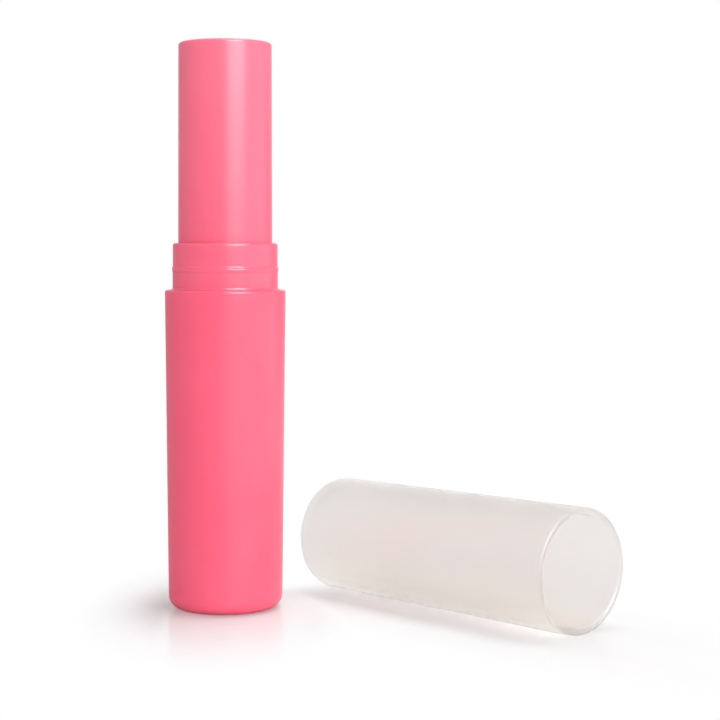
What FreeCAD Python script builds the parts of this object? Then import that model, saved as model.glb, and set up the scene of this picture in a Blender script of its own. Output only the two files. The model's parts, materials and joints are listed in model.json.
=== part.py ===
import FreeCAD, Part
import math
import os

# Lip balm stick with its cap off. The stick stands on its base at the origin, +Z up, and the cap lies
# beside it with its mouth towards +X. Sizes are in millimetres, and the balm is wound right down.

# Base shell: the tall body, which is also the grip that is turned
BODY_HEIGHT = 42.25
BODY_RIM_D = 16.0
BODY_TAPER = 0.9
BODY_WALL = 1.0
BODY_FLOOR = 1.2
BODY_FOOT_ROUND = 1.75
BODY_RIM_ROUND = 0.28

# Neck collar: pressed into the mouth of the base shell
NECK_HEIGHT = 6.22
COLLAR_SEAT = 4.2
COLLAR_WALL = 0.68
NECK_RIM_ROUND = 0.35
NECK_ROOT_ROUND = 0.35
STOP_HEIGHT = 0.05
STOP_EDGE = 0.02
NECK_RELIEF = 0.035
BEAD_DROP = 3.3
BEAD_HEIGHT = 0.9
BEAD_PROUD = 0.05
PRESS_GAP = 0.01

# Barrel: the slim sleeve that guides the balm and turns in the collar
BARREL_RISE = 26.43
BARREL_TAPER = 0.126
BARREL_WALL = 0.87
BARREL_RIM_ROUND = 0.42
LIP_ROUND_SHARE = 0.48
FLANGE_HEIGHT = 1.0
FOOT_HEIGHT = 2.0
GROOVE_WIDTH = 1.8
GROOVE_DEPTH = 0.4
TURN_CLEAR = 0.08
THRUST_GAP = 0.1

# Brake ring: soft ring between the barrel's flange and the collar
RING_GAP = 0.03

# Spindle: the screw, keyed into a boss on the floor of the base shell
KEY_D = 4.6
KEY_FLATS = 3.4
KEY_GAP = 0.02
BOSS_HEIGHT = 5.0
BOSS_WALL = 1.2
SPINDLE_LIP = 1.0
SPINDLE_LIP_HEIGHT = 1.0
CORE_D = 3.2
THREAD_LEAD = 4.5
THREAD_HEIGHT = 0.7
THREAD_ROOT = 1.6
THREAD_CREST = 0.9
TIP_CHAMFER = 0.5

# Carrier: the cup under the balm, with its nut and its two guide lugs
CARRIER_LIFT_OFF = 0.3
CUP_HEIGHT = 9.0
CUP_WALL = 0.6
CUP_FLOOR = 1.2
CUP_STOP = 4.4
HUB_HEIGHT = 6.0
HUB_WALL = 0.9
LUG_HEIGHT = 4.0
LUG_CLEAR = 0.1
SLIDE_CLEAR = 0.1
THREAD_CLEAR = 0.2
TIP_ENGAGE = 5.0

# Balm: cast into the carrier and round the spindle, a little below the barrel's rim
BALM_DROP = 0.9
BALM_ROUND = 0.5
BALM_DIMPLE = 0.35
BALM_DIMPLE_D = 7.0
CAST_GAP = 0.02
CHANNEL_CLEAR = 0.4

# Cap: taken off, lying on its side
CAP_HEADROOM = 11.35
CAP_STEP = 0.05
CAP_TAPER = 0.54
CAP_WALL = 0.85
CAP_END_WALL = 1.0
CAP_END_ROUND = 0.95
CAP_INNER_ROUND = 0.5
CAP_MOUTH_ROUND = 0.24
CAP_LIP_ROUND = 0.5
CAP_LIP_SHARE = 0.6
CAP_CLEAR = 0.06
CAP_LAND_SPARE = 0.18
CAP_MOUTH_X = 44.27
CAP_AXIS_Y = 21.0

# Radii, worked out from the body inwards
body_rim_r = BODY_RIM_D / 2
body_foot_r = body_rim_r - BODY_TAPER / 2
seat_r = body_rim_r - BODY_WALL
neck_r = seat_r - PRESS_GAP
bead_r = neck_r + BEAD_PROUD
stop_r = neck_r + NECK_ROOT_ROUND + STOP_EDGE
collar_bore_r = neck_r - COLLAR_WALL
barrel_r = collar_bore_r - TURN_CLEAR
barrel_top_r = barrel_r - BARREL_TAPER / 2
bore_r = barrel_top_r - BARREL_WALL
groove_r = bore_r + GROOVE_DEPTH
flange_r = seat_r - TURN_CLEAR
slider_r = bore_r - SLIDE_CLEAR
key_r = KEY_D / 2
boss_r = key_r + KEY_GAP + BOSS_WALL
core_r = CORE_D / 2
crest_r = core_r + THREAD_HEIGHT
hub_r = crest_r + THREAD_CLEAR + HUB_WALL
ring_cord = seat_r - barrel_r - 2 * RING_GAP

# Heights, worked out from the table upwards
neck_top = BODY_HEIGHT + NECK_HEIGHT
stop_top = BODY_HEIGHT + STOP_HEIGHT
barrel_top = neck_top + BARREL_RISE
barrel_low = BODY_FLOOR + THRUST_GAP
collar_low = BODY_HEIGHT - COLLAR_SEAT
ring_mid = collar_low - THRUST_GAP - ring_cord / 2
flange_top = ring_mid - ring_cord / 2 - RING_GAP
flange_low = flange_top - FLANGE_HEIGHT
boss_top = BODY_FLOOR + BOSS_HEIGHT
spindle_lip_top = boss_top + SPINDLE_LIP_HEIGHT
carrier_low = spindle_lip_top + CARRIER_LIFT_OFF
cup_top = carrier_low + CUP_HEIGHT
hub_top = carrier_low + HUB_HEIGHT
travel = barrel_top - CUP_STOP - cup_top
groove_top = carrier_low + LUG_HEIGHT + travel + LUG_CLEAR
spindle_tip = carrier_low + travel + TIP_ENGAGE
thread_start = spindle_lip_top + THREAD_ROOT / 2 + THREAD_CLEAR

# Cap sizes that follow from what it covers
cap_length = NECK_HEIGHT + BARREL_RISE + CAP_HEADROOM + CAP_END_WALL
cap_mouth_r = body_rim_r - CAP_STEP
cap_end_r = cap_mouth_r - CAP_TAPER / 2
cap_bore_r = bead_r + CAP_CLEAR
cap_land = NECK_HEIGHT + CAP_LAND_SPARE
cap_lip_round = min(CAP_LIP_ROUND, CAP_LIP_SHARE * (cap_mouth_r - cap_bore_r))

V = FreeCAD.Vector
ORIGIN = V(0, 0, 0)
UP = V(0, 0, 1)


def rounded_outline(corners):
    """Closed face in the XZ plane through (radius, height, rounding) corners, rounded with true arcs."""
    places = [V(r, 0, z) for r, z, _ in corners]
    entries, exits, arcs = [], [], []
    for i, (_, _, rounding) in enumerate(corners):
        here = places[i]
        back = (places[i - 1] - here).normalize()
        ahead = (places[(i + 1) % len(places)] - here).normalize()
        if rounding == 0:
            entries.append(here)
            exits.append(here)
            arcs.append(None)
            continue
        half = back.getAngle(ahead) / 2
        inward = (back + ahead).normalize()
        setback = rounding / math.tan(half)
        entries.append(here + back * setback)
        exits.append(here + ahead * setback)
        middle = here + inward * (rounding / math.sin(half) - rounding)
        arcs.append(Part.Arc(entries[i], middle, exits[i]).toShape())
    edges = []
    for i, arc in enumerate(arcs):
        if arc:
            edges.append(arc)
        following = entries[(i + 1) % len(entries)]
        edges.append(Part.LineSegment(exits[i], following).toShape())
    return Part.Face(Part.Wire(edges))


def turned(corners):
    """Solid of revolution about +Z."""
    return rounded_outline(corners).revolve(ORIGIN, UP, 360)


def body_outer_r(z):
    """Outside radius of the tapered body at height z."""
    return body_foot_r + (body_rim_r - body_foot_r) * z / BODY_HEIGHT


def keyed_pin(radius, flats, low, high):
    """Round pin with two flats, the shape of the spindle's foot and of its socket."""
    pin = Part.makeCylinder(radius, high - low, V(0, 0, low))
    between = Part.makeBox(2 * radius, flats, high - low, V(-radius, -flats / 2, low))
    return pin.common(between)


def helical_ridge(start, turns, root_r, top_r, root_width, top_width):
    """Trapezoid thread ridge, right handed, whose middle is at height start on the +X side."""
    sunk = (top_r - root_r) / 2
    sunk_width = root_width + (root_width - top_width) / 2
    corners = [
        V(root_r - sunk, 0, -sunk_width / 2),
        V(top_r, 0, -top_width / 2),
        V(top_r, 0, top_width / 2),
        V(root_r - sunk, 0, sunk_width / 2),
    ]
    section = Part.makePolygon(corners + corners[:1])
    path = Part.Wire(Part.makeHelix(THREAD_LEAD, THREAD_LEAD * turns, top_r))
    ridge = path.makePipeShell([section], True, True)
    ridge.translate(V(0, 0, start))
    return ridge


def on_both_sides(solid):
    """A solid on the +X side, joined with its twin on the -X side."""
    twin = solid.copy()
    twin.rotate(ORIGIN, UP, 180)
    return solid.fuse(twin)


def base_shell():
    """Tapered body, open at the top, with a rounded foot and the spindle's boss on its floor."""
    land_low = flange_low - THRUST_GAP
    shell = turned([
        (0, 0, 0),
        (body_foot_r, 0, BODY_FOOT_ROUND),
        (body_rim_r, BODY_HEIGHT, BODY_RIM_ROUND),
        (seat_r, BODY_HEIGHT, 0),
        (seat_r, land_low, 0),
        (body_outer_r(land_low) - BODY_WALL, land_low, 0),
        (body_outer_r(BODY_FLOOR) - BODY_WALL, BODY_FLOOR, 0),
        (boss_r, BODY_FLOOR, 0),
        (boss_r, boss_top, 0),
        (0, boss_top, 0),
    ])
    return shell.cut(keyed_pin(key_r + KEY_GAP, KEY_FLATS + 2 * KEY_GAP, BODY_FLOOR, boss_top))


def neck_collar():
    """Neck with a rounded rim, the bead that holds the cap and a filleted stop on the body's rim."""
    bead_mid = neck_top - BEAD_DROP
    upper_r = neck_r - NECK_RELIEF
    bead = BEAD_HEIGHT / 2
    return turned([
        (collar_bore_r, collar_low, 0),
        (neck_r, collar_low, 0),
        (neck_r, BODY_HEIGHT, 0),
        (stop_r, BODY_HEIGHT, 0),
        (stop_r, stop_top, 0),
        (neck_r, stop_top, NECK_ROOT_ROUND),
        (neck_r, bead_mid - bead, 0),
        (bead_r, bead_mid, bead),
        (upper_r, bead_mid + bead, 0),
        (upper_r, neck_top, NECK_RIM_ROUND),
        (collar_bore_r, neck_top, 0),
    ])


def barrel():
    """Sleeve with a rounded lip, a flange under the collar, a foot bearing and two guide grooves."""
    foot_r = body_outer_r(barrel_low) - BODY_WALL - TURN_CLEAR
    lip_round = min(BARREL_RIM_ROUND, LIP_ROUND_SHARE * BARREL_WALL)
    sleeve = turned([
        (bore_r, barrel_low, 0),
        (foot_r, barrel_low, 0),
        (foot_r, barrel_low + FOOT_HEIGHT, 0),
        (barrel_r, barrel_low + FOOT_HEIGHT, 0),
        (barrel_r, flange_low, 0),
        (flange_r, flange_low, 0),
        (flange_r, flange_top, 0),
        (barrel_r, flange_top, 0),
        (barrel_r, neck_top, 0),
        (barrel_top_r, barrel_top, lip_round),
        (bore_r, barrel_top, lip_round),
    ])
    groove_length = groove_top - barrel_low
    corner = V(0, -GROOVE_WIDTH / 2, barrel_low)
    return sleeve.cut(on_both_sides(Part.makeBox(groove_r, GROOVE_WIDTH, groove_length, corner)))


def brake_ring():
    """Silicone ring that fills the gap between the barrel and the base shell."""
    return Part.makeTorus((seat_r + barrel_r) / 2, ring_cord / 2, V(0, 0, ring_mid))


def spindle():
    """Keyed foot, resting lip and threaded rod up to the chamfered tip."""
    foot = keyed_pin(key_r, KEY_FLATS, BODY_FLOOR + THRUST_GAP, boss_top)
    lip_r = key_r + SPINDLE_LIP
    rod = turned([
        (0, boss_top, 0),
        (lip_r, boss_top, 0),
        (lip_r, spindle_lip_top, 0),
        (core_r, spindle_lip_top, 0),
        (core_r, spindle_tip - TIP_CHAMFER, 0),
        (core_r - TIP_CHAMFER, spindle_tip, 0),
        (0, spindle_tip, 0),
    ])
    thread_end = spindle_tip - TIP_CHAMFER - THREAD_ROOT
    turns = (thread_end - thread_start) / THREAD_LEAD
    ridge = helical_ridge(thread_start, turns, core_r, crest_r, THREAD_ROOT, THREAD_CREST)
    return rod.fuse(foot).fuse(ridge)


def carrier():
    """Cup with a hub threaded on the spindle and a lug on each side for the barrel's grooves."""
    floor_top = carrier_low + CUP_FLOOR
    cup_inner_r = slider_r - CUP_WALL
    cup = turned([
        (0, carrier_low, 0),
        (slider_r, carrier_low, 0),
        (slider_r, cup_top, 0),
        (cup_inner_r, cup_top, 0),
        (cup_inner_r, floor_top, 0),
        (hub_r, floor_top, 0),
        (hub_r, hub_top, 0),
        (0, hub_top, 0),
    ])
    lug_root = slider_r - CUP_WALL / 2
    lug_depth = groove_r - LUG_CLEAR - lug_root
    lug_width = GROOVE_WIDTH - 2 * LUG_CLEAR
    lug_corner = V(lug_root, -lug_width / 2, carrier_low)
    lugs = on_both_sides(Part.makeBox(lug_depth, lug_width, LUG_HEIGHT, lug_corner))
    tap_turns = HUB_HEIGHT / THREAD_LEAD + 2
    tap_start = thread_start - THREAD_LEAD
    tap_ridge = helical_ridge(
        tap_start,
        tap_turns,
        core_r + THREAD_CLEAR,
        crest_r + THREAD_CLEAR,
        THREAD_ROOT + 2 * THREAD_CLEAR,
        THREAD_CREST + 2 * THREAD_CLEAR,
    )
    tap_low = tap_start - THREAD_LEAD / 2
    tap_core = Part.makeCylinder(core_r + THREAD_CLEAR, (tap_turns + 1) * THREAD_LEAD, V(0, 0, tap_low))
    return cup.fuse(lugs).cut(tap_core.fuse(tap_ridge))


def balm():
    """Cast stick with a slightly sunken top, a plug that sits in the cup and a channel for the spindle."""
    top = barrel_top - BALM_DROP
    plug_r = slider_r - CUP_WALL - CAST_GAP
    plug_low = carrier_low + CUP_FLOOR + CAST_GAP
    shoulder = cup_top + CAST_GAP
    channel_r = crest_r + CHANNEL_CLEAR
    stick = turned([
        (0, plug_low, 0),
        (plug_r, plug_low, 0),
        (plug_r, shoulder, 0),
        (slider_r, shoulder, 0),
        (slider_r, top, BALM_ROUND),
        (0, top, 0),
    ])
    hub_hole = Part.makeCylinder(hub_r + CAST_GAP, hub_top + CAST_GAP - plug_low, V(0, 0, plug_low))
    channel_top = spindle_tip + CHANNEL_CLEAR
    channel = Part.makeCylinder(channel_r, channel_top - plug_low, V(0, 0, plug_low))
    chord = BALM_DIMPLE_D / 2
    dimple_r = (chord ** 2 + BALM_DIMPLE ** 2) / (2 * BALM_DIMPLE)
    dimple = Part.makeSphere(dimple_r, V(0, 0, top - BALM_DIMPLE + dimple_r))
    return stick.cut(hub_hole).cut(channel).cut(dimple)


def cap():
    """Tapered cap with a straight land inside its mouth, laid on its side on the table."""
    inner_end_r = cap_end_r - CAP_WALL
    upright = turned([
        (0, 0, 0),
        (cap_end_r, 0, CAP_END_ROUND),
        (cap_mouth_r, cap_length, CAP_MOUTH_ROUND),
        (cap_bore_r, cap_length, cap_lip_round),
        (cap_bore_r, cap_length - cap_land, 0),
        (inner_end_r, CAP_END_WALL, CAP_INNER_ROUND),
        (0, CAP_END_WALL, 0),
    ])
    slope = math.atan2(cap_mouth_r - cap_end_r, cap_length)
    upright.rotate(ORIGIN, V(0, 1, 0), 90 - math.degrees(slope))
    closed_end_x = CAP_MOUTH_X - cap_length * math.cos(slope)
    upright.translate(V(closed_end_x, CAP_AXIS_Y, cap_end_r * math.cos(slope)))
    return upright


pieces = {
    "base_shell": base_shell(),
    "neck_collar": neck_collar(),
    "barrel": barrel(),
    "brake_ring": brake_ring(),
    "spindle": spindle(),
    "carrier": carrier(),
    "balm": balm(),
    "cap": cap(),
}

os.makedirs("parts", exist_ok=True)
for name, shape in pieces.items():
    solid = shape.Solids[0]
    solid.exportStep("parts/" + name + ".step")
    print(name, "valid" if solid.isValid() else "NOT VALID", round(solid.Volume, 2), "mm3")
print("travel", round(travel, 3), "mm in", round(travel / THREAD_LEAD, 3), "turns")
print("cap length", round(cap_length, 3), "mm")
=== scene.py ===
import json
import math

import bmesh
import bpy
from mathutils import Matrix, Vector


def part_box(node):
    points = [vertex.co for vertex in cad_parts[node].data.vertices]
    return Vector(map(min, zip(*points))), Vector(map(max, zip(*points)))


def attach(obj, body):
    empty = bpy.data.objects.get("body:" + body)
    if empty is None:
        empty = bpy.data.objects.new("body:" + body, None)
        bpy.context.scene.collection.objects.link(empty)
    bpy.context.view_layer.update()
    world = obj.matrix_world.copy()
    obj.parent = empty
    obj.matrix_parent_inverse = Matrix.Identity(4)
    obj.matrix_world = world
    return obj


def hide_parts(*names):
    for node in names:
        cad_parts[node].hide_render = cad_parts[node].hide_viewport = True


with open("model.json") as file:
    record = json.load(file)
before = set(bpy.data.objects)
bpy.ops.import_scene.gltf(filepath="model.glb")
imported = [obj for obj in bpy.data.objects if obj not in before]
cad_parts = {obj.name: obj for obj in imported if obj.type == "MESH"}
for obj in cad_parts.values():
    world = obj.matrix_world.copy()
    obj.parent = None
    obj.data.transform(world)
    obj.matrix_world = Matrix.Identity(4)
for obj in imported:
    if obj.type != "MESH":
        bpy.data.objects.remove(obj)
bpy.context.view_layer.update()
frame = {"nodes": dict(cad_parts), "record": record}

# Base shell
# The tall body that the hand turns: an open tube with a floor and a boss for the screw. It is injection
# moulded in pink polypropylene with a satin skin, stands on its flat foot and carries the other pieces.
MM = 0.001
SHELL_WALL = 1.0 * MM
SHELL_FLOOR = 1.2 * MM
SHELL_TAPER = 0.45 * MM
SHELL_FOOT_ROUND = 1.75 * MM
SHELL_RIM_ROUND = 0.28 * MM
SEAT_DEPTH = 6.14 * MM
BOSS_R = 3.52 * MM
BOSS_HOLE_R = 2.32 * MM
KEY_FLATS = 3.44 * MM
BOSS_HEIGHT = 5.0 * MM
GATE_R = 1.1 * MM
GATE_DEPTH = 0.12 * MM
PINK_DEEP = (0.930, 0.105, 0.188, 1.0)
PINK_PALE = (0.950, 0.120, 0.204, 1.0)
PINK_CLOUDS = (9 * MM, 3)
PINK_PATCHES = (5 * MM, 2)
PINK_GRAIN = (0.12 * MM, 1)
PINK_RELIEF = 0.0008 * MM
PINK_IOR = 1.49
PINK_INSIDE = (0.2, (1.0, 0.3, 0.35), 0.8 * MM)
SATIN = 0.30
SATIN_SPREAD = 0.015
NOISE_SPAN = (0.3, 0.7)
ARC_STEPS = 10
ARC_LEAD = 0.03 * MM
TURNED_SIDES = 180
WELD = 0.0005 * MM
CREASE = math.radians(35)


def outline(corners):
    """Section of a turned piece through (radius, height, rounding) corners, each rounded with a fine arc."""
    points = []
    for i, (r, z, rounding) in enumerate(corners):
        here = Vector((r, z))
        if rounding == 0:
            points.append(here)
            continue
        back = (Vector(corners[i - 1][:2]) - here).normalized()
        ahead = (Vector(corners[(i + 1) % len(corners)][:2]) - here).normalized()
        half = back.angle(ahead) / 2
        setback = rounding / math.tan(half)
        centre = here + (back + ahead).normalized() * (rounding / math.sin(half))
        first = here + back * setback - centre
        sweep = first.angle_signed(here + ahead * setback - centre)
        points.append(centre + first + back * ARC_LEAD)
        for step in range(ARC_STEPS + 1):
            points.append(centre + Matrix.Rotation(-sweep * step / ARC_STEPS, 2) @ first)
        points.append(here + ahead * (setback + ARC_LEAD))
    return points


def turning_tree():
    """Geometry Nodes tree that swings an outline, drawn as (radius, 0, height) points, round the Z axis."""
    tree = bpy.data.node_groups.new("turned_piece", "GeometryNodeTree")
    tree.interface.new_socket("Outline", in_out="INPUT", socket_type="NodeSocketGeometry")
    tree.interface.new_socket("Sides", in_out="INPUT", socket_type="NodeSocketInt")
    tree.interface.new_socket("Weld", in_out="INPUT", socket_type="NodeSocketFloat")
    tree.interface.new_socket("Finish", in_out="INPUT", socket_type="NodeSocketMaterial")
    tree.interface.new_socket("Piece", in_out="OUTPUT", socket_type="NodeSocketGeometry")

    def add(kind, **settings):
        node = tree.nodes.new(kind)
        for name, value in settings.items():
            setattr(node, name, value)
        return node

    given = add("NodeGroupInput")
    outline_size = add("GeometryNodeAttributeDomainSize", component="MESH")
    columns = add("FunctionNodeIntegerMath", operation="ADD")
    columns.inputs[1].default_value = 1
    skin = add("GeometryNodeMeshGrid")
    index = add("GeometryNodeInputIndex")
    column = add("FunctionNodeIntegerMath", operation="DIVIDE_FLOOR")
    row = add("FunctionNodeIntegerMath", operation="MODULO")
    drawn_place = add("GeometryNodeInputPosition")
    outline_point = add("GeometryNodeSampleIndex", data_type="FLOAT_VECTOR", domain="POINT")
    share = add("ShaderNodeMath", operation="DIVIDE")
    angle = add("ShaderNodeMath", operation="MULTIPLY")
    angle.inputs[1].default_value = 2 * math.pi
    swung = add("ShaderNodeVectorRotate", rotation_type="Z_AXIS")
    wrapped = add("GeometryNodeSetPosition")
    welded = add("GeometryNodeMergeByDistance")
    smooth = add("GeometryNodeSetShadeSmooth")
    real = add("GeometryNodeRealizeInstances")
    finished = add("GeometryNodeSetMaterial")
    result = add("NodeGroupOutput")
    joins = [
        (given.outputs["Outline"], outline_size.inputs["Geometry"]),
        (given.outputs["Sides"], columns.inputs[0]),
        (columns.outputs[0], skin.inputs["Vertices X"]),
        (outline_size.outputs["Point Count"], skin.inputs["Vertices Y"]),
        (index.outputs[0], column.inputs[0]),
        (outline_size.outputs["Point Count"], column.inputs[1]),
        (index.outputs[0], row.inputs[0]),
        (outline_size.outputs["Point Count"], row.inputs[1]),
        (given.outputs["Outline"], outline_point.inputs["Geometry"]),
        (drawn_place.outputs[0], outline_point.inputs["Value"]),
        (row.outputs[0], outline_point.inputs["Index"]),
        (column.outputs[0], share.inputs[0]),
        (given.outputs["Sides"], share.inputs[1]),
        (share.outputs[0], angle.inputs[0]),
        (outline_point.outputs["Value"], swung.inputs["Vector"]),
        (angle.outputs[0], swung.inputs["Angle"]),
        (skin.outputs["Mesh"], wrapped.inputs["Geometry"]),
        (swung.outputs["Vector"], wrapped.inputs["Position"]),
        (wrapped.outputs["Geometry"], welded.inputs["Geometry"]),
        (given.outputs["Weld"], welded.inputs["Distance"]),
        (welded.outputs["Geometry"], smooth.inputs["Geometry"]),
        (smooth.outputs["Geometry"], real.inputs["Geometry"]),
        (real.outputs["Geometry"], finished.inputs["Geometry"]),
        (given.outputs["Finish"], finished.inputs["Material"]),
        (finished.outputs["Geometry"], result.inputs["Piece"]),
    ]
    for start, end in joins:
        tree.links.new(start, end)
    return tree


turned_piece = turning_tree()


def turn(name, corners, finish):
    """Round piece of that section, as a plain mesh that faces outwards."""
    points = outline(corners)
    drawn = bpy.data.meshes.new(name + "_outline")
    edges = [(i, i + 1) for i in range(len(points) - 1)]
    drawn.from_pydata([(r, 0.0, z) for r, z in points], edges, [])
    piece = bpy.data.objects.new(name, drawn)
    bpy.context.scene.collection.objects.link(piece)
    lathe = piece.modifiers.new("lathe", "NODES")
    lathe.node_group = turned_piece
    settings = {"Sides": TURNED_SIDES, "Weld": WELD, "Finish": finish}
    for socket in turned_piece.interface.items_tree:
        if socket.name in settings:
            lathe[socket.identifier] = settings[socket.name]
    seen = piece.evaluated_get(bpy.context.evaluated_depsgraph_get())
    mesh = bpy.data.meshes.new_from_object(seen)
    piece.modifiers.remove(lathe)
    piece.data = mesh
    mesh.name = name
    bpy.data.meshes.remove(drawn)
    shaped = bmesh.new()
    shaped.from_mesh(mesh)
    bmesh.ops.recalc_face_normals(shaped, faces=shaped.faces)
    shaped.to_mesh(mesh)
    shaped.free()
    mesh.set_sharp_from_angle(angle=CREASE)
    return piece


def new_finish(name):
    """Material with its Principled shader, and the place of each point on the object."""
    made = bpy.data.materials.new(name)
    made.use_nodes = True
    place = made.node_tree.nodes.new("ShaderNodeTexCoord")
    return made, made.node_tree.nodes["Principled BSDF"], place.outputs["Object"]


def grain(made, place, size, detail, low=0.0, high=1.0):
    """Soft noise whose grains are about that size, as a number between low and high."""
    noise = made.node_tree.nodes.new("ShaderNodeTexNoise")
    noise.inputs["Scale"].default_value = 1 / size
    noise.inputs["Detail"].default_value = detail
    spread = made.node_tree.nodes.new("ShaderNodeMapRange")
    spread.inputs["From Min"].default_value = NOISE_SPAN[0]
    spread.inputs["From Max"].default_value = NOISE_SPAN[1]
    spread.inputs["To Min"].default_value = low
    spread.inputs["To Max"].default_value = high
    made.node_tree.links.new(place, noise.inputs["Vector"])
    made.node_tree.links.new(noise.outputs["Fac"], spread.inputs["Value"])
    return spread.outputs["Result"]


def feed(tree, value, socket):
    """A number or colour that is given is set on the socket, and another node's output is linked to it."""
    if isinstance(value, bpy.types.NodeSocket):
        tree.links.new(value, socket)
    else:
        socket.default_value = value


def two_tone(made, share, first, second):
    """Colour between two tones, each a colour or the output of another node."""
    mix = made.node_tree.nodes.new("ShaderNodeMix")
    mix.data_type = "RGBA"
    feed(made.node_tree, first, mix.inputs["A"])
    feed(made.node_tree, second, mix.inputs["B"])
    made.node_tree.links.new(share, mix.inputs["Factor"])
    return mix.outputs["Result"]


def roughened(made, shader, height, depth):
    """Relief of that depth on the shader's normal."""
    bump = made.node_tree.nodes.new("ShaderNodeBump")
    bump.inputs["Strength"].default_value = 1.0
    bump.inputs["Distance"].default_value = depth
    made.node_tree.links.new(height, bump.inputs["Height"])
    made.node_tree.links.new(bump.outputs["Normal"], shader.inputs["Normal"])


def moulded(name, tones, clouds, satin, patches, relief, depth):
    """Material with cloudy tones, patches of gloss and a fine relief. Each noise is a size and a detail."""
    made, shader, place = new_finish(name)
    tone = two_tone(made, grain(made, place, *clouds), *tones)
    made.node_tree.links.new(tone, shader.inputs["Base Color"])
    made.node_tree.links.new(grain(made, place, *patches, *satin), shader.inputs["Roughness"])
    roughened(made, shader, grain(made, place, *relief), depth)
    return made, shader


def lit_inside(shader, weight, colours, reach):
    """Light that enters the piece and leaves it again within that reach."""
    shader.inputs["Subsurface Weight"].default_value = weight
    shader.inputs["Subsurface Radius"].default_value = colours
    shader.inputs["Subsurface Scale"].default_value = reach


def by_height(made, place, low, high):
    """Share that grows evenly from 0 at the low height to 1 at the high one."""
    parts = made.node_tree.nodes.new("ShaderNodeSeparateXYZ")
    climb = made.node_tree.nodes.new("ShaderNodeMapRange")
    climb.inputs["From Min"].default_value = low
    climb.inputs["From Max"].default_value = high
    made.node_tree.links.new(place, parts.inputs["Vector"])
    made.node_tree.links.new(parts.outputs["Z"], climb.inputs["Value"])
    return climb.outputs["Result"]


def satin_pink(name, deep, pale, satin):
    """Pink polypropylene: faint clouds in the colour, a fine moulded grain, and a little light inside."""
    gloss = (satin - SATIN_SPREAD, satin + SATIN_SPREAD)
    made, shader = moulded(
        name, (deep, pale), PINK_CLOUDS, gloss, PINK_PATCHES, PINK_GRAIN, PINK_RELIEF,
    )
    shader.inputs["IOR"].default_value = PINK_IOR
    lit_inside(shader, *PINK_INSIDE)
    return made


_, shell_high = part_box("base_shell")
rim_r = shell_high.x
rim_z = shell_high.z
foot_r = rim_r - SHELL_TAPER
seat_r = rim_r - SHELL_WALL
seat_z = rim_z - SEAT_DEPTH
boss_z = SHELL_FLOOR + BOSS_HEIGHT


def shell_r(z):
    """Outside radius of the tapered body at that height."""
    return foot_r + SHELL_TAPER * z / rim_z


base_shell = turn("pink_base_shell", [
    (0, GATE_DEPTH, 0),
    (GATE_R - GATE_DEPTH, GATE_DEPTH, 0),
    (GATE_R, 0, 0),
    (foot_r, 0, SHELL_FOOT_ROUND),
    (rim_r, rim_z, SHELL_RIM_ROUND),
    (seat_r, rim_z, 0),
    (seat_r, seat_z, 0),
    (shell_r(seat_z) - SHELL_WALL, seat_z, 0),
    (shell_r(SHELL_FLOOR) - SHELL_WALL, SHELL_FLOOR, 0),
    (BOSS_R, SHELL_FLOOR, 0),
    (BOSS_R, boss_z, 0),
    (BOSS_HOLE_R, boss_z, 0),
    (BOSS_HOLE_R, SHELL_FLOOR, 0),
    (0, SHELL_FLOOR, 0),
], satin_pink("satin_pink_shell", PINK_DEEP, PINK_PALE, SATIN))
for corner in base_shell.data.vertices:
    if corner.co.z > SHELL_FLOOR - WELD and corner.co.xy.length < BOSS_HOLE_R + WELD:
        corner.co.y = max(-KEY_FLATS / 2, min(KEY_FLATS / 2, corner.co.y))
base_shell.data.set_sharp_from_angle(angle=CREASE)
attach(base_shell, "base")
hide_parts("base_shell")

# Spindle
# The screw that lifts the balm, moulded in natural plastic. Its foot is keyed into the boss of the base
# shell, so the two turn together.
NATURAL_WARM = (0.74, 0.71, 0.63, 1.0)
NATURAL_COOL = (0.80, 0.78, 0.72, 1.0)
NATURAL_CLOUDS = (4 * MM, 3)
NATURAL_GLOSS = (0.28, 0.38)
NATURAL_PATCHES = (1.2 * MM, 3)
NATURAL_GRAIN = (0.2 * MM, 2)
NATURAL_RELIEF = 0.002 * MM
NATURAL_INSIDE = (0.3, (1.0, 0.9, 0.8), 1.0 * MM)


def natural_plastic(name):
    """Unpigmented plastic: milky, faintly cloudy and a little glossy."""
    made, shader = moulded(
        name, (NATURAL_WARM, NATURAL_COOL), NATURAL_CLOUDS, NATURAL_GLOSS, NATURAL_PATCHES,
        NATURAL_GRAIN, NATURAL_RELIEF,
    )
    lit_inside(shader, *NATURAL_INSIDE)
    return made


def coat_node(name, finish):
    """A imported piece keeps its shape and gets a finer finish."""
    piece = frame["nodes"][name]
    piece.data.materials.clear()
    piece.data.materials.append(finish)


coat_node("spindle", natural_plastic("natural_spindle"))

# Brake ring
# A small moulded ring of milky silicone round the barrel. It is squeezed between the barrel's flange, the
# collar and the base shell, and its drag keeps the turn even.
SILICONE_DARK = (0.60, 0.60, 0.57, 1.0)
SILICONE_LIGHT = (0.70, 0.70, 0.67, 1.0)
SILICONE_CLOUDS = (1.5 * MM, 3)
SILICONE_GLOSS = (0.5, 0.62)
SILICONE_PATCHES = (0.5 * MM, 3)
SILICONE_GRAIN = (0.1 * MM, 2)
SILICONE_RELIEF = 0.004 * MM
SILICONE_INSIDE = (0.4, (1.0, 0.2, 0.1), 0.6 * MM)


def silicone(name):
    """Clear silicone gone milky with talc: matt, soft and a little patchy."""
    made, shader = moulded(
        name, (SILICONE_DARK, SILICONE_LIGHT), SILICONE_CLOUDS, SILICONE_GLOSS, SILICONE_PATCHES,
        SILICONE_GRAIN, SILICONE_RELIEF,
    )
    lit_inside(shader, *SILICONE_INSIDE)
    return made


coat_node("brake_ring", silicone("milky_silicone"))

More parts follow.
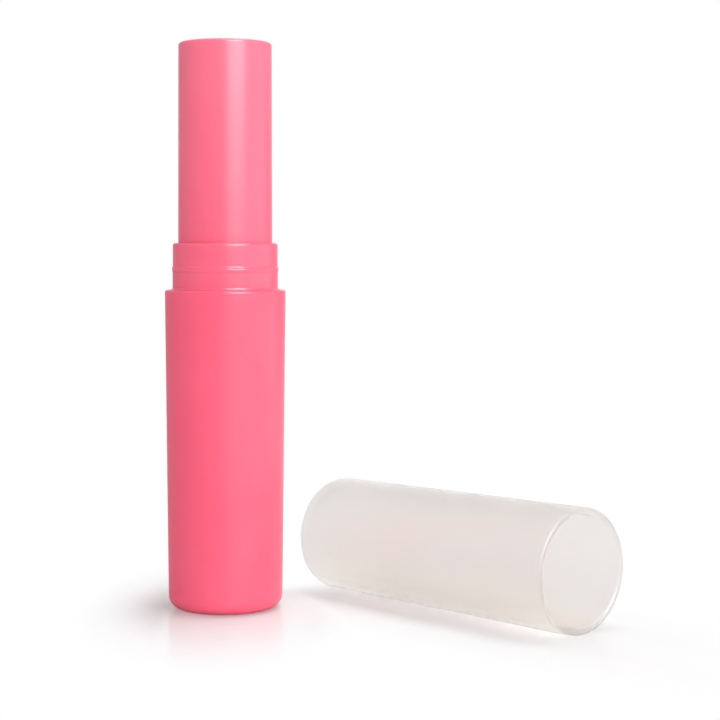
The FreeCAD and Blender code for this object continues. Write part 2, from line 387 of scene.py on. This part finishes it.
# Barrel
# The slim sleeve above the neck, of the same pink plastic with a smoother skin. It holds and guides the
# balm, and a flange under the collar keeps it in the base shell while it turns.
BARREL_WALL = 0.87 * MM
BARREL_TAPER = 0.063 * MM
BARREL_LIP_ROUND = 0.42 * MM
BARREL_FOOT_TALL = 2.0 * MM
BARREL_FOOT_PLAY = 0.08 * MM
FLANGE_DROP = 0.84 * MM
FLANGE_TALL = 1.0 * MM
BARREL_R = 6.23 * MM
GROOVE_DEPTH = 0.4 * MM
GROOVE_WIDE = 1.8 * MM
GROOVE_STOP = 9.3 * MM
GROOVE_EDGE = 0.02 * MM
BARREL_DEEP = (0.935, 0.120, 0.202, 1.0)
BARREL_PALE = (0.950, 0.132, 0.216, 1.0)
# painted light: the paler tone the barrel turns to towards its open end, standing in for the stronger light
# up there
BARREL_PAINTED_TOP_LIGHT = (0.955, 0.168, 0.258, 1.0)
BARREL_SATIN = 0.295
BARREL_PAINTED_LIGHT_FROM = 45 * MM

barrel_low, barrel_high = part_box("barrel")


def satin_pink_tube_painted_light(name):
    """The same pink plastic in a thin wall, with painted light: its colour turns paler towards the open end.
    """
    made = satin_pink(name, BARREL_DEEP, BARREL_PALE, BARREL_SATIN)
    shader = made.node_tree.nodes["Principled BSDF"]
    place = made.node_tree.nodes["Texture Coordinate"].outputs["Object"]
    clouded = shader.inputs["Base Color"].links[0].from_socket
    # painted light: the colour turns paler with height up the barrel
    painted_light_rise = by_height(made, place, BARREL_PAINTED_LIGHT_FROM, barrel_high.z)
    made.node_tree.links.new(two_tone(made, painted_light_rise, clouded, BARREL_PAINTED_TOP_LIGHT), shader.inputs["Base Color"])
    return made


neck_low, neck_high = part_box("neck_collar")
bore_r = BARREL_R - BARREL_TAPER - BARREL_WALL
flange_top = neck_low.z - FLANGE_DROP
flange_r = barrel_high.x
barrel_foot_z = barrel_low.z + BARREL_FOOT_TALL
barrel_foot_r = shell_r(barrel_low.z) - SHELL_WALL - BARREL_FOOT_PLAY
groove_r = bore_r + GROOVE_DEPTH
groove_z = barrel_high.z - GROOVE_STOP
barrel = turn("pink_barrel", [
    (bore_r, barrel_low.z, 0),
    (barrel_foot_r, barrel_low.z, 0),
    (barrel_foot_r, barrel_foot_z, 0),
    (BARREL_R, barrel_foot_z, 0),
    (BARREL_R, flange_top - FLANGE_TALL, 0),
    (flange_r, flange_top - FLANGE_TALL, 0),
    (flange_r, flange_top, 0),
    (BARREL_R, flange_top, 0),
    (BARREL_R, neck_high.z, 0),
    (BARREL_R - BARREL_TAPER, barrel_high.z, BARREL_LIP_ROUND),
    (bore_r, barrel_high.z, BARREL_LIP_ROUND),
    (bore_r, groove_z + GROOVE_EDGE, 0),
    (bore_r, groove_z, 0),
    (bore_r, barrel_low.z, 0),
], satin_pink_tube_painted_light("satin_pink_barrel_painted_light"))
groove_step = 2 * math.pi * bore_r / TURNED_SIDES
for corner in barrel.data.vertices:
    x, y, z = corner.co
    if z < groove_z + WELD and corner.co.xy.length < bore_r + WELD and abs(y) < GROOVE_WIDE / 2:
        corner.co.x = math.copysign(groove_r, x)
        if abs(y) > GROOVE_WIDE / 2 - groove_step:
            corner.co.y = math.copysign(GROOVE_WIDE / 2, y)
barrel.data.set_sharp_from_angle(angle=CREASE)
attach(barrel, "barrel")
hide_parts("barrel")

# Carrier
# The cup under the balm, moulded in natural plastic: its hub is a nut on the spindle, and two lugs run in
# the barrel's grooves so that it rises and does not turn.
coat_node("carrier", natural_plastic("natural_carrier"))

# Balm
# The stick of tinted wax, poured hot into the carrier and the barrel. It sank a little as it set, so its
# top is a shallow dish with a soft edge.
BALM_R = 5.197 * MM
BALM_PLUG_R = 4.577 * MM
BALM_EDGE_ROUND = 0.5 * MM
BALM_DISH = 0.35 * MM
BALM_DISH_R = 3.5 * MM
BALM_CHANNEL_R = 2.7 * MM
BALM_CHANNEL_ROOF = 7.1 * MM
HUB_R = 3.42 * MM
HUB_TALL = 4.8 * MM
CUP_DEPTH = 7.8 * MM
DISH_STEPS = 8
WAX_DEEP = (0.88, 0.43, 0.47, 1.0)
WAX_PALE = (0.91, 0.475, 0.51, 1.0)
WAX_CLOUDS = (3 * MM, 4)
WAX_GLOSS = (0.30, 0.44)
WAX_PATCHES = (0.8 * MM, 4)
WAX_RIPPLE = (1.1 * MM, 4)
WAX_RELIEF = 0.008 * MM
WAX_IOR = 1.44
WAX_INSIDE = (0.5, (1.0, 0.5, 0.45), 1.6 * MM)


def cast_wax(name):
    """Tinted wax: softly glossy, cloudy where it cooled unevenly, with a faint ripple on its skin."""
    made, shader = moulded(
        name, (WAX_DEEP, WAX_PALE), WAX_CLOUDS, WAX_GLOSS, WAX_PATCHES, WAX_RIPPLE, WAX_RELIEF,
    )
    shader.inputs["IOR"].default_value = WAX_IOR
    lit_inside(shader, *WAX_INSIDE)
    return made


balm_low, balm_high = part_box("balm")
shoulder_z = balm_low.z + CUP_DEPTH
dish = []
for step in range(DISH_STEPS):
    reach = BALM_DISH_R * (1 - step / DISH_STEPS)
    dish.append((reach, balm_high.z - BALM_DISH * (1 - (reach / BALM_DISH_R) ** 2), 0))
balm = turn("wax_balm", [
    (HUB_R, balm_low.z, 0),
    (BALM_PLUG_R, balm_low.z, 0),
    (BALM_PLUG_R, shoulder_z, 0),
    (BALM_R, shoulder_z, 0),
    (BALM_R, balm_high.z, BALM_EDGE_ROUND),
    *dish,
    (0, balm_high.z - BALM_DISH, 0),
    (0, balm_high.z - BALM_CHANNEL_ROOF, 0),
    (BALM_CHANNEL_R, balm_high.z - BALM_CHANNEL_ROOF, 0),
    (BALM_CHANNEL_R, balm_low.z + HUB_TALL, 0),
    (HUB_R, balm_low.z + HUB_TALL, 0),
    (HUB_R, balm_low.z, 0),
], cast_wax("tinted_wax"))
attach(balm, "lift")
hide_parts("balm")

# Neck collar
# The pink neck, pressed into the mouth of the base shell. Its bead clips the cap on, a small fillet runs
# into the shell's rim, and its lower end holds the barrel down.
COLLAR_BORE_R = 6.31 * MM
NECK_R = 6.99 * MM
NECK_RELIEF = 0.035 * MM
NECK_RIM_ROUND = 0.35 * MM
NECK_ROOT_ROUND = 0.35 * MM
STOP_TALL = 0.05 * MM
BEAD_R = 7.06 * MM
BEAD_DROP = 3.25 * MM
BEAD_RISE = 0.20 * MM
BEAD_SPLIT = 0.11 * MM
BEAD_SPLIT_DEPTH = 0.03 * MM
BEAD_LOWER = 0.12 * MM
BEAD_SKIRT = 0.36 * MM
BEAD_SKIRT_R = 7.02 * MM
BEAD_ROUND = 0.05 * MM
BEAD_FINE_ROUND = 0.03 * MM
NECK_DEEP = (0.935, 0.122, 0.206, 1.0)
NECK_PALE = (0.950, 0.136, 0.221, 1.0)
NECK_SATIN = 0.25

bead_z = neck_high.z - BEAD_DROP
split_z = bead_z - BEAD_SPLIT
ridge_z = split_z - BEAD_LOWER
stop_z = rim_z + STOP_TALL
stop_r = neck_high.x
upper_r = NECK_R - NECK_RELIEF
neck_collar = turn("pink_neck_collar", [
    (COLLAR_BORE_R, neck_low.z, 0),
    (NECK_R, neck_low.z, 0),
    (NECK_R, rim_z, 0),
    (stop_r, rim_z, 0),
    (stop_r, stop_z, 0),
    (NECK_R, stop_z, NECK_ROOT_ROUND),
    (NECK_R, ridge_z - BEAD_SKIRT - BEAD_ROUND, BEAD_FINE_ROUND),
    (BEAD_SKIRT_R, ridge_z - BEAD_SKIRT, BEAD_FINE_ROUND),
    (BEAD_R, ridge_z, BEAD_ROUND),
    (BEAD_R - BEAD_SPLIT_DEPTH, split_z, BEAD_ROUND),
    (BEAD_R, bead_z, BEAD_ROUND),
    (upper_r, bead_z + BEAD_RISE, BEAD_ROUND),
    (upper_r, neck_high.z, NECK_RIM_ROUND),
    (COLLAR_BORE_R, neck_high.z, 0),
    (COLLAR_BORE_R, neck_low.z, 0),
], satin_pink("satin_pink_neck", NECK_DEEP, NECK_PALE, NECK_SATIN))
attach(neck_collar, "base")
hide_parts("neck_collar")

# Cap
# The frosted cap, moulded in unpigmented polypropylene with a fine matt skin inside and out, so it glows
# but shows nothing behind it. Only its lip is smooth. It has been pulled off and lies on its side.
CAP_LENGTH = 45.0 * MM
CAP_MOUTH_R = 7.95 * MM
CAP_END_R = 7.68 * MM
CAP_WALL = 0.85 * MM
CAP_END_WALL = 1.0 * MM
CAP_END_ROUND = 0.95 * MM
CAP_INNER_ROUND = 0.5 * MM
CAP_MOUTH_ROUND = 0.33 * MM
CAP_LIP_ROUND = 0.5 * MM
FROST_WARM = (0.959, 0.930, 0.912, 1.0)
FROST_COOL = (0.969, 0.948, 0.939, 1.0)
FROST_CLOUDS = (12 * MM, 3)
FROST_SATIN = (0.44, 0.50)
FROST_PATCHES = (5 * MM, 2)
FROST_GRAIN = (0.12 * MM, 1)
FROST_RELIEF = 0.0004 * MM
FROST_IOR = 1.16
FROST_COAT = (0.6, 0.30)
LIP_COAT = (1.0, 0.13)
LIP_DEPTH = 0.6 * MM


def frosted(name, coat_weight, coat_roughness):
    """Frosted polypropylene: milky see-through plastic under a fine sandblasted grain."""
    made, shader = moulded(
        name, (FROST_WARM, FROST_COOL), FROST_CLOUDS, FROST_SATIN, FROST_PATCHES,
        FROST_GRAIN, FROST_RELIEF,
    )
    shader.inputs["IOR"].default_value = FROST_IOR
    shader.inputs["Transmission Weight"].default_value = 1.0
    shader.inputs["Coat Weight"].default_value = coat_weight
    shader.inputs["Coat Roughness"].default_value = coat_roughness
    return made


cap_mouth = next(m for m in frame["record"]["mounts"] if m["name"] == "cap_mouth")
cap_bore_r = cap_mouth["dims"]["r_mm"] * MM
cap_land = cap_mouth["dims"]["length_mm"] * MM
cap_axis = Vector(cap_mouth["axis"])
land_z = CAP_LENGTH - CAP_LIP_ROUND - cap_land
lip_r = CAP_MOUTH_R - (CAP_MOUTH_R - CAP_END_R) * LIP_DEPTH / CAP_LENGTH
closed_end = Vector(cap_mouth["pos_m"]) - cap_axis * (land_z + cap_land / 2)
cap = turn("frosted_cap", [
    (0, GATE_DEPTH, 0),
    (GATE_R - GATE_DEPTH, GATE_DEPTH, 0),
    (GATE_R, 0, 0),
    (CAP_END_R, 0, CAP_END_ROUND),
    (lip_r, CAP_LENGTH - LIP_DEPTH, 0),
    (CAP_MOUTH_R, CAP_LENGTH, CAP_MOUTH_ROUND),
    (cap_bore_r, CAP_LENGTH, CAP_LIP_ROUND),
    (cap_bore_r, land_z, 0),
    (CAP_END_R - CAP_WALL, CAP_END_WALL, CAP_INNER_ROUND),
    (0, CAP_END_WALL, 0),
], frosted("frosted_plastic", *FROST_COAT))
lay_down = cap_axis.to_track_quat("Z", "Y").to_matrix().to_4x4()
cap.data.transform(Matrix.Translation(closed_end) @ lay_down)
cap.data.materials.append(frosted("polished_lip", *LIP_COAT))
for face in cap.data.polygons:
    if (face.center - closed_end).dot(cap_axis) > CAP_LENGTH - LIP_DEPTH:
        face.material_index = 1
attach(cap, "cap")
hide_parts("cap")

# Floor
# A pale glossy table top under the object. It keeps the soft shadows and a faint mirror image close to the
# object, turns into plain white further off, and has light and shade painted into it: a painted shade left
# of the foot, a painted cool tint beside it, a painted pink glow right under the foot, a painted darker
# reflection on the left, and a painted warm bounce and white glow at the cap.
FLOOR_HALF = 3.0
FLOOR_DROP = 0.02 * MM
FLOOR_PALE = (0.76, 0.76, 0.76, 1.0)
FLOOR_SEEN = (0.74, 0.74, 0.74, 1.0)
# painted light: a cool tint right of and in front of the foot that takes out the pink light bounced there
FLOOR_PAINTED_COOL = (0.715, 0.757, 0.754, 1.0)
FLOOR_PAINTED_COOL_REACH = (-7 * MM, 4 * MM)
FLOOR_PAINTED_COOL_FADE = (14 * MM, 4 * MM)
# painted shade: a darker table tone just left of the foot, standing in for the stick's contact shadow
FLOOR_PAINTED_SHADE = (0.63, 0.63, 0.63, 1.0)
FLOOR_PAINTED_SHADE_REACH = (-6.0 * MM, -8.5 * MM)
FLOOR_PAINTED_SHADE_FADE = (7 * MM, 0.5 * MM)
# painted shade: the floor as seen in reflections is darker on the left side, standing in for its shadowed
# part
FLOOR_PAINTED_SHADE_IN_REFLECTIONS = (0.36, 0.36, 0.36, 1.0)
FLOOR_PAINTED_SHADE_IN_REFLECTIONS_REACH = (-25 * MM, 35 * MM)
FLOOR_GLOSS = 0.14
FLOOR_IOR = 1.115
FLOOR_FADE = 13 * MM
FLOOR_STRETCH = 0.5
# painted glow: the floor near the cap turns white in reflections, standing in for light through the cap
CAP_PAINTED_GLOW_REACH = 12 * MM
CAP_PAINTED_GLOW_SHARE = 0.8
CAP_FADE = 17 * MM
CAP_SLIDE = 30 * MM
# painted light: a warm tint on the floor as seen through the cap, strongest near it, standing in for bounce
# light
CAP_PAINTED_BOUNCE = (1.0, 0.99, 0.975, 1.0)
CAP_PAINTED_WARM_BOUNCE = (1.13, 1.03, 0.94, 1.0)
CAP_PAINTED_BOUNCE_REACH = 10 * MM
# painted glow: a dark pink emission right under the foot, standing in for the pink light reflected and
# scattered there
FOOT_PAINTED_PINK_GLOW = (0.45, 0.06, 0.10, 1.0)
FOOT_PAINTED_PINK_GLOW_SHARE = 0.6
BEHIND_CAP = 0.87
WHITE = (1.0, 1.0, 1.0, 1.0)
FIRST_BOUNCE = 0.5
CAMERA_AZIMUTH = 47.625

cap_low, cap_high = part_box("cap")
floor_mesh = bpy.data.meshes.new("floor")
floor_mesh.from_pydata([
    (-FLOOR_HALF, -FLOOR_HALF, -FLOOR_DROP),
    (FLOOR_HALF, -FLOOR_HALF, -FLOOR_DROP),
    (FLOOR_HALF, FLOOR_HALF, -FLOOR_DROP),
    (-FLOOR_HALF, FLOOR_HALF, -FLOOR_DROP),
], [], [(0, 1, 2, 3)])
floor = bpy.data.objects.new("floor", floor_mesh)
bpy.context.scene.collection.objects.link(floor)
table_top, table_shader, table_place = new_finish("pale_table_top")
floor_nodes = table_top.node_tree.nodes
floor_links = table_top.node_tree.links


def worked_out(tree, operation, first, second):
    """Result of a Math node on two values, each a number or the output of another node."""
    node = tree.nodes.new("ShaderNodeMath")
    node.operation = operation
    feed(tree, first, node.inputs[0])
    feed(tree, second, node.inputs[1])
    return node.outputs[0]


def grown(tree, value, low, high):
    """Share that grows softly from 0 at the low value to 1 at the high one."""
    growth = tree.nodes.new("ShaderNodeMapRange")
    growth.interpolation_type = "SMOOTHSTEP"
    growth.inputs["From Min"].default_value = low
    growth.inputs["From Max"].default_value = high
    tree.links.new(value, growth.inputs["Value"])
    return growth.outputs["Result"]


def floor_sum(operation, first, second):
    """Result of a Math node in the floor's material."""
    return worked_out(table_top.node_tree, operation, first, second)


def floor_grow(value, low, high):
    """Soft growth in the floor's material."""
    return grown(table_top.node_tree, value, low, high)


def floor_length(across, along):
    """Length of a flat step on the floor."""
    squares = floor_sum("ADD", floor_sum("POWER", across, 2), floor_sum("POWER", along, 2))
    return floor_sum("SQRT", squares, 0)


floor_xyz = floor_nodes.new("ShaderNodeSeparateXYZ")
floor_links.new(table_place, floor_xyz.inputs["Vector"])
floor_x = floor_xyz.outputs["X"]
floor_y = floor_xyz.outputs["Y"]
facing = math.radians(CAMERA_AZIMUTH)


def floor_along(x_share, y_share):
    """Place on the floor along a direction that is given by its shares of X and Y."""
    return floor_sum("ADD", floor_sum("MULTIPLY", floor_x, x_share), floor_sum("MULTIPLY", floor_y, y_share))


# Distances on the floor
to_right = floor_along(math.cos(facing), math.sin(facing))
to_back = floor_along(-math.sin(facing) * FLOOR_STRETCH, math.cos(facing) * FLOOR_STRETCH)
from_stick = floor_sum("SUBTRACT", floor_length(to_right, to_back), foot_r)
along_cap = floor_sum("MINIMUM", floor_sum("MAXIMUM", floor_x, cap_low.x), cap_high.x + CAP_SLIDE)
beside_cap = floor_sum("SUBTRACT", floor_x, along_cap)
cap_middle = (cap_low.y + cap_high.y) / 2
cap_contact = (cap_high.y - cap_low.y) / 4
cap_offset = floor_length(beside_cap, floor_sum("SUBTRACT", floor_y, cap_middle))
from_cap = floor_sum("SUBTRACT", cap_offset, cap_contact)
floor_ray = floor_nodes.new("ShaderNodeLightPath")
floor_camera = floor_ray.outputs["Is Camera Ray"]
floor_glossy = floor_ray.outputs["Is Glossy Ray"]
floor_first = floor_sum("LESS_THAN", floor_ray.outputs["Diffuse Depth"], FIRST_BOUNCE)
floor_through = floor_sum("MULTIPLY", floor_ray.outputs["Is Transmission Ray"], floor_first)

# Tones of the table top, with a painted shade left of the foot, a painted cool tint beside it, and a painted
# darker reflection on the left
# painted light: the cool tint grows in near the stick on its right side
painted_cool_near_stick = floor_grow(from_stick, *FLOOR_PAINTED_COOL_FADE)
painted_cool_share = floor_sum("MULTIPLY", floor_grow(to_right, *FLOOR_PAINTED_COOL_REACH), painted_cool_near_stick)
# painted shade: the darker tone grows in close to the foot on its left side
painted_shade_near_stick = floor_grow(from_stick, *FLOOR_PAINTED_SHADE_FADE)
painted_shade_share = floor_sum("MULTIPLY", floor_grow(to_right, *FLOOR_PAINTED_SHADE_REACH), painted_shade_near_stick)
painted_shade_tone = two_tone(table_top, painted_shade_share, FLOOR_SEEN, FLOOR_PAINTED_SHADE)
seen_tone = two_tone(table_top, painted_cool_share, painted_shade_tone, FLOOR_PAINTED_COOL)
floor_tone = two_tone(table_top, floor_camera, FLOOR_PALE, seen_tone)
# painted shade in reflections: dark on the left, pale on the right
painted_reflected_shade = two_tone(table_top, floor_grow(to_right, *FLOOR_PAINTED_SHADE_IN_REFLECTIONS_REACH), FLOOR_PAINTED_SHADE_IN_REFLECTIONS, FLOOR_PALE)
floor_mirrored = two_tone(table_top, floor_glossy, floor_tone, painted_reflected_shade)
floor_links.new(floor_mirrored, table_shader.inputs["Base Color"])
table_shader.inputs["Roughness"].default_value = FLOOR_GLOSS
table_shader.inputs["IOR"].default_value = FLOOR_IOR

# White further off and behind the cap, a painted warm bounce seen through the cap, a painted white glow
# under the cap in reflections, and a painted pink glow under the foot
# painted warm bounce on the floor seen through the cap
painted_bounce_near_cap = floor_grow(from_cap, CAP_PAINTED_BOUNCE_REACH, 0.0)
painted_cap_bounce = two_tone(table_top, painted_bounce_near_cap, CAP_PAINTED_BOUNCE, CAP_PAINTED_WARM_BOUNCE)
plain_glow = two_tone(table_top, floor_through, WHITE, painted_cap_bounce)
# painted glow: pink emission on the floor under the rounded foot, for camera rays only
painted_glow_below_foot = floor_grow(floor_length(floor_x, floor_y), foot_r, foot_r - SHELL_FOOT_ROUND / 2)
painted_foot_glow = floor_sum("MULTIPLY", floor_sum("MULTIPLY", painted_glow_below_foot, floor_camera), FOOT_PAINTED_PINK_GLOW_SHARE)
floor_glow = two_tone(table_top, painted_foot_glow, plain_glow, FOOT_PAINTED_PINK_GLOW)
behind_cap = floor_sum("MULTIPLY", floor_through, BEHIND_CAP - 1.0)
white_floor = floor_nodes.new("ShaderNodeEmission")
floor_links.new(floor_glow, white_floor.inputs["Color"])
floor_links.new(floor_sum("ADD", behind_cap, 1.0), white_floor.inputs["Strength"])
stick_fade = floor_grow(from_stick, 0.0, FLOOR_FADE)
fade = floor_sum("MINIMUM", stick_fade, floor_grow(from_cap, 0.0, CAP_FADE))
floor_white = floor_sum("MULTIPLY", fade, floor_camera)
# painted glow near the cap, seen only in reflections
painted_cap_glow = floor_sum("MULTIPLY", floor_grow(from_cap, CAP_PAINTED_GLOW_REACH, 0.0), CAP_PAINTED_GLOW_SHARE)
painted_glow_below_cap = floor_sum("MULTIPLY", painted_cap_glow, floor_glossy)
through_cap = floor_sum("MAXIMUM", painted_glow_below_cap, floor_through)
glow = floor_sum("MAXIMUM", through_cap, painted_foot_glow)
floor_mix = floor_nodes.new("ShaderNodeMixShader")
floor_links.new(floor_sum("MAXIMUM", floor_white, glow), floor_mix.inputs["Fac"])
floor_links.new(table_shader.outputs["BSDF"], floor_mix.inputs[1])
floor_links.new(white_floor.outputs["Emission"], floor_mix.inputs[2])
floor_links.new(floor_mix.outputs["Shader"], floor_nodes["Material Output"].inputs["Surface"])
floor_mesh.materials.append(table_top)

# Light
# A white room, darker in the reflections away from the backdrop behind the object. Two soft boxes to the
# right of the camera draw the upright highlights, one above draws the short shadows, two panels light the
# right side, and a faint cool panel lights the left side.
ROOM_LIGHT = 0.65
ROOM_GLOSS = 0.45
LEFT_COOL = (0.85, 0.95, 1.60)
BACKDROP_GLOSS = 1.05
BACKDROP_HALF = (9.0, 24.0)
BACKDROP_RISE = 0.12
BOX_AIM = Vector((10 * MM, 5 * MM, 40 * MM))

room = bpy.data.worlds.new("white_room")
room.use_nodes = True
bpy.context.scene.world = room
room_nodes = room.node_tree.nodes
room_links = room.node_tree.links


def room_sum(operation, first, second):
    """Result of a Math node in the room's light."""
    return worked_out(room.node_tree, operation, first, second)


def room_level(share, low, high):
    """Level between two others, each a number or the output of another node."""
    level = room_nodes.new("ShaderNodeMapRange")
    room_links.new(share, level.inputs["Value"])
    feed(room.node_tree, low, level.inputs["To Min"])
    feed(room.node_tree, high, level.inputs["To Max"])
    return level.outputs["Result"]


room_ray = room_nodes.new("ShaderNodeLightPath")
room_place = room_nodes.new("ShaderNodeTexCoord")
towards_backdrop = room_nodes.new("ShaderNodeVectorMath")
towards_backdrop.operation = "DOT_PRODUCT"
towards_backdrop.inputs[1].default_value = (-math.sin(facing), math.cos(facing), BACKDROP_RISE)
room_links.new(room_place.outputs["Generated"], towards_backdrop.inputs[0])
backdrop_inside, backdrop_outside = (math.cos(math.radians(half)) for half in BACKDROP_HALF)
on_backdrop = grown(room.node_tree, towards_backdrop.outputs["Value"], backdrop_outside, backdrop_inside)
mirrored_level = room_level(on_backdrop, ROOM_GLOSS, BACKDROP_GLOSS)
room_first = room_sum("LESS_THAN", room_ray.outputs["Diffuse Depth"], FIRST_BOUNCE)
room_share = room_sum("MULTIPLY", room_first, (BEHIND_CAP - ROOM_LIGHT) / (1.0 - ROOM_LIGHT))
room_through = room_sum("MULTIPLY", room_ray.outputs["Is Transmission Ray"], room_share)
room_seen = room_sum("MAXIMUM", room_ray.outputs["Is Camera Ray"], room_through)
plain_level = room_level(room_seen, ROOM_LIGHT, 1.0)
light_level = room_level(room_ray.outputs["Is Glossy Ray"], plain_level, mirrored_level)
room_links.new(light_level, room_nodes["Background"].inputs["Strength"])
room_nodes["Background"].inputs["Color"].default_value = WHITE


def soft_box(name, azimuth, away, height, wide, tall, power):
    """Rectangular lamp at that many degrees to the right of the camera's line, aimed at the object."""
    turned_by = math.radians(CAMERA_AZIMUTH + azimuth)
    place = Vector((math.sin(turned_by) * away, -math.cos(turned_by) * away, height))
    lamp = bpy.data.lights.new(name, "AREA")
    lamp.shape = "RECTANGLE"
    lamp.size = wide
    lamp.size_y = tall
    lamp.energy = power
    box = bpy.data.objects.new(name, lamp)
    aim = (place - BOX_AIM).to_track_quat("Z", "Y").to_matrix().to_4x4()
    box.matrix_world = Matrix.Translation(place) @ aim
    box.visible_camera = False
    bpy.context.scene.collection.objects.link(box)
    return box


soft_box(
    "low_soft_box",
    azimuth=31.5, away=600 * MM, height=185 * MM,
    wide=480 * MM, tall=180 * MM, power=2.0,
)
high_box = soft_box(
    "high_soft_box",
    azimuth=31.5, away=600 * MM, height=480 * MM,
    wide=400 * MM, tall=420 * MM, power=9.5,
)
high_box.visible_diffuse = False
soft_box(
    "side_panel",
    azimuth=85.0, away=500 * MM, height=170 * MM,
    wide=500 * MM, tall=420 * MM, power=0.20,
)
soft_box(
    "low_panel",
    azimuth=85.0, away=240 * MM, height=40 * MM,
    wide=300 * MM, tall=80 * MM, power=0.068,
)
soft_box(
    "top_soft_box",
    azimuth=105.0, away=160 * MM, height=900 * MM,
    wide=450 * MM, tall=450 * MM, power=4.0,
)
left_box = soft_box(
    "left_panel",
    azimuth=-85.0, away=500 * MM, height=220 * MM,
    wide=500 * MM, tall=420 * MM, power=0.12,
)
left_box.data.color = LEFT_COOL

# Camera
# A long lens at table height, level with the neck and turned a little down, as in the photograph.
CAMERA_PLACE = Vector((193.228, -151.989, 48.350)) * MM
CAMERA_DIP = 1.8
CAMERA_ROLL = 0.065
CAMERA_LENS = 92.33
CAMERA_SENSOR = 36.0
CAMERA_CLIP = (0.01, 10.0)
CAMERA_SHIFT_X = -0.00075
CAMERA_SHIFT_Y = -0.0805

camera_data = bpy.data.cameras.new("camera")
camera_data.lens = CAMERA_LENS
camera_data.sensor_width = CAMERA_SENSOR
camera_data.shift_x = CAMERA_SHIFT_X
camera_data.shift_y = CAMERA_SHIFT_Y
camera_data.clip_start, camera_data.clip_end = CAMERA_CLIP
camera = bpy.data.objects.new("camera", camera_data)
camera_turn = (
    Matrix.Rotation(math.radians(CAMERA_AZIMUTH), 4, "Z")
    @ Matrix.Rotation(math.radians(90 - CAMERA_DIP), 4, "X")
    @ Matrix.Rotation(math.radians(CAMERA_ROLL), 4, "Z")
)
camera.matrix_world = Matrix.Translation(CAMERA_PLACE) @ camera_turn
bpy.context.scene.collection.objects.link(camera)
bpy.context.scene.camera = camera
bpy.context.scene.view_settings.view_transform = "Standard"
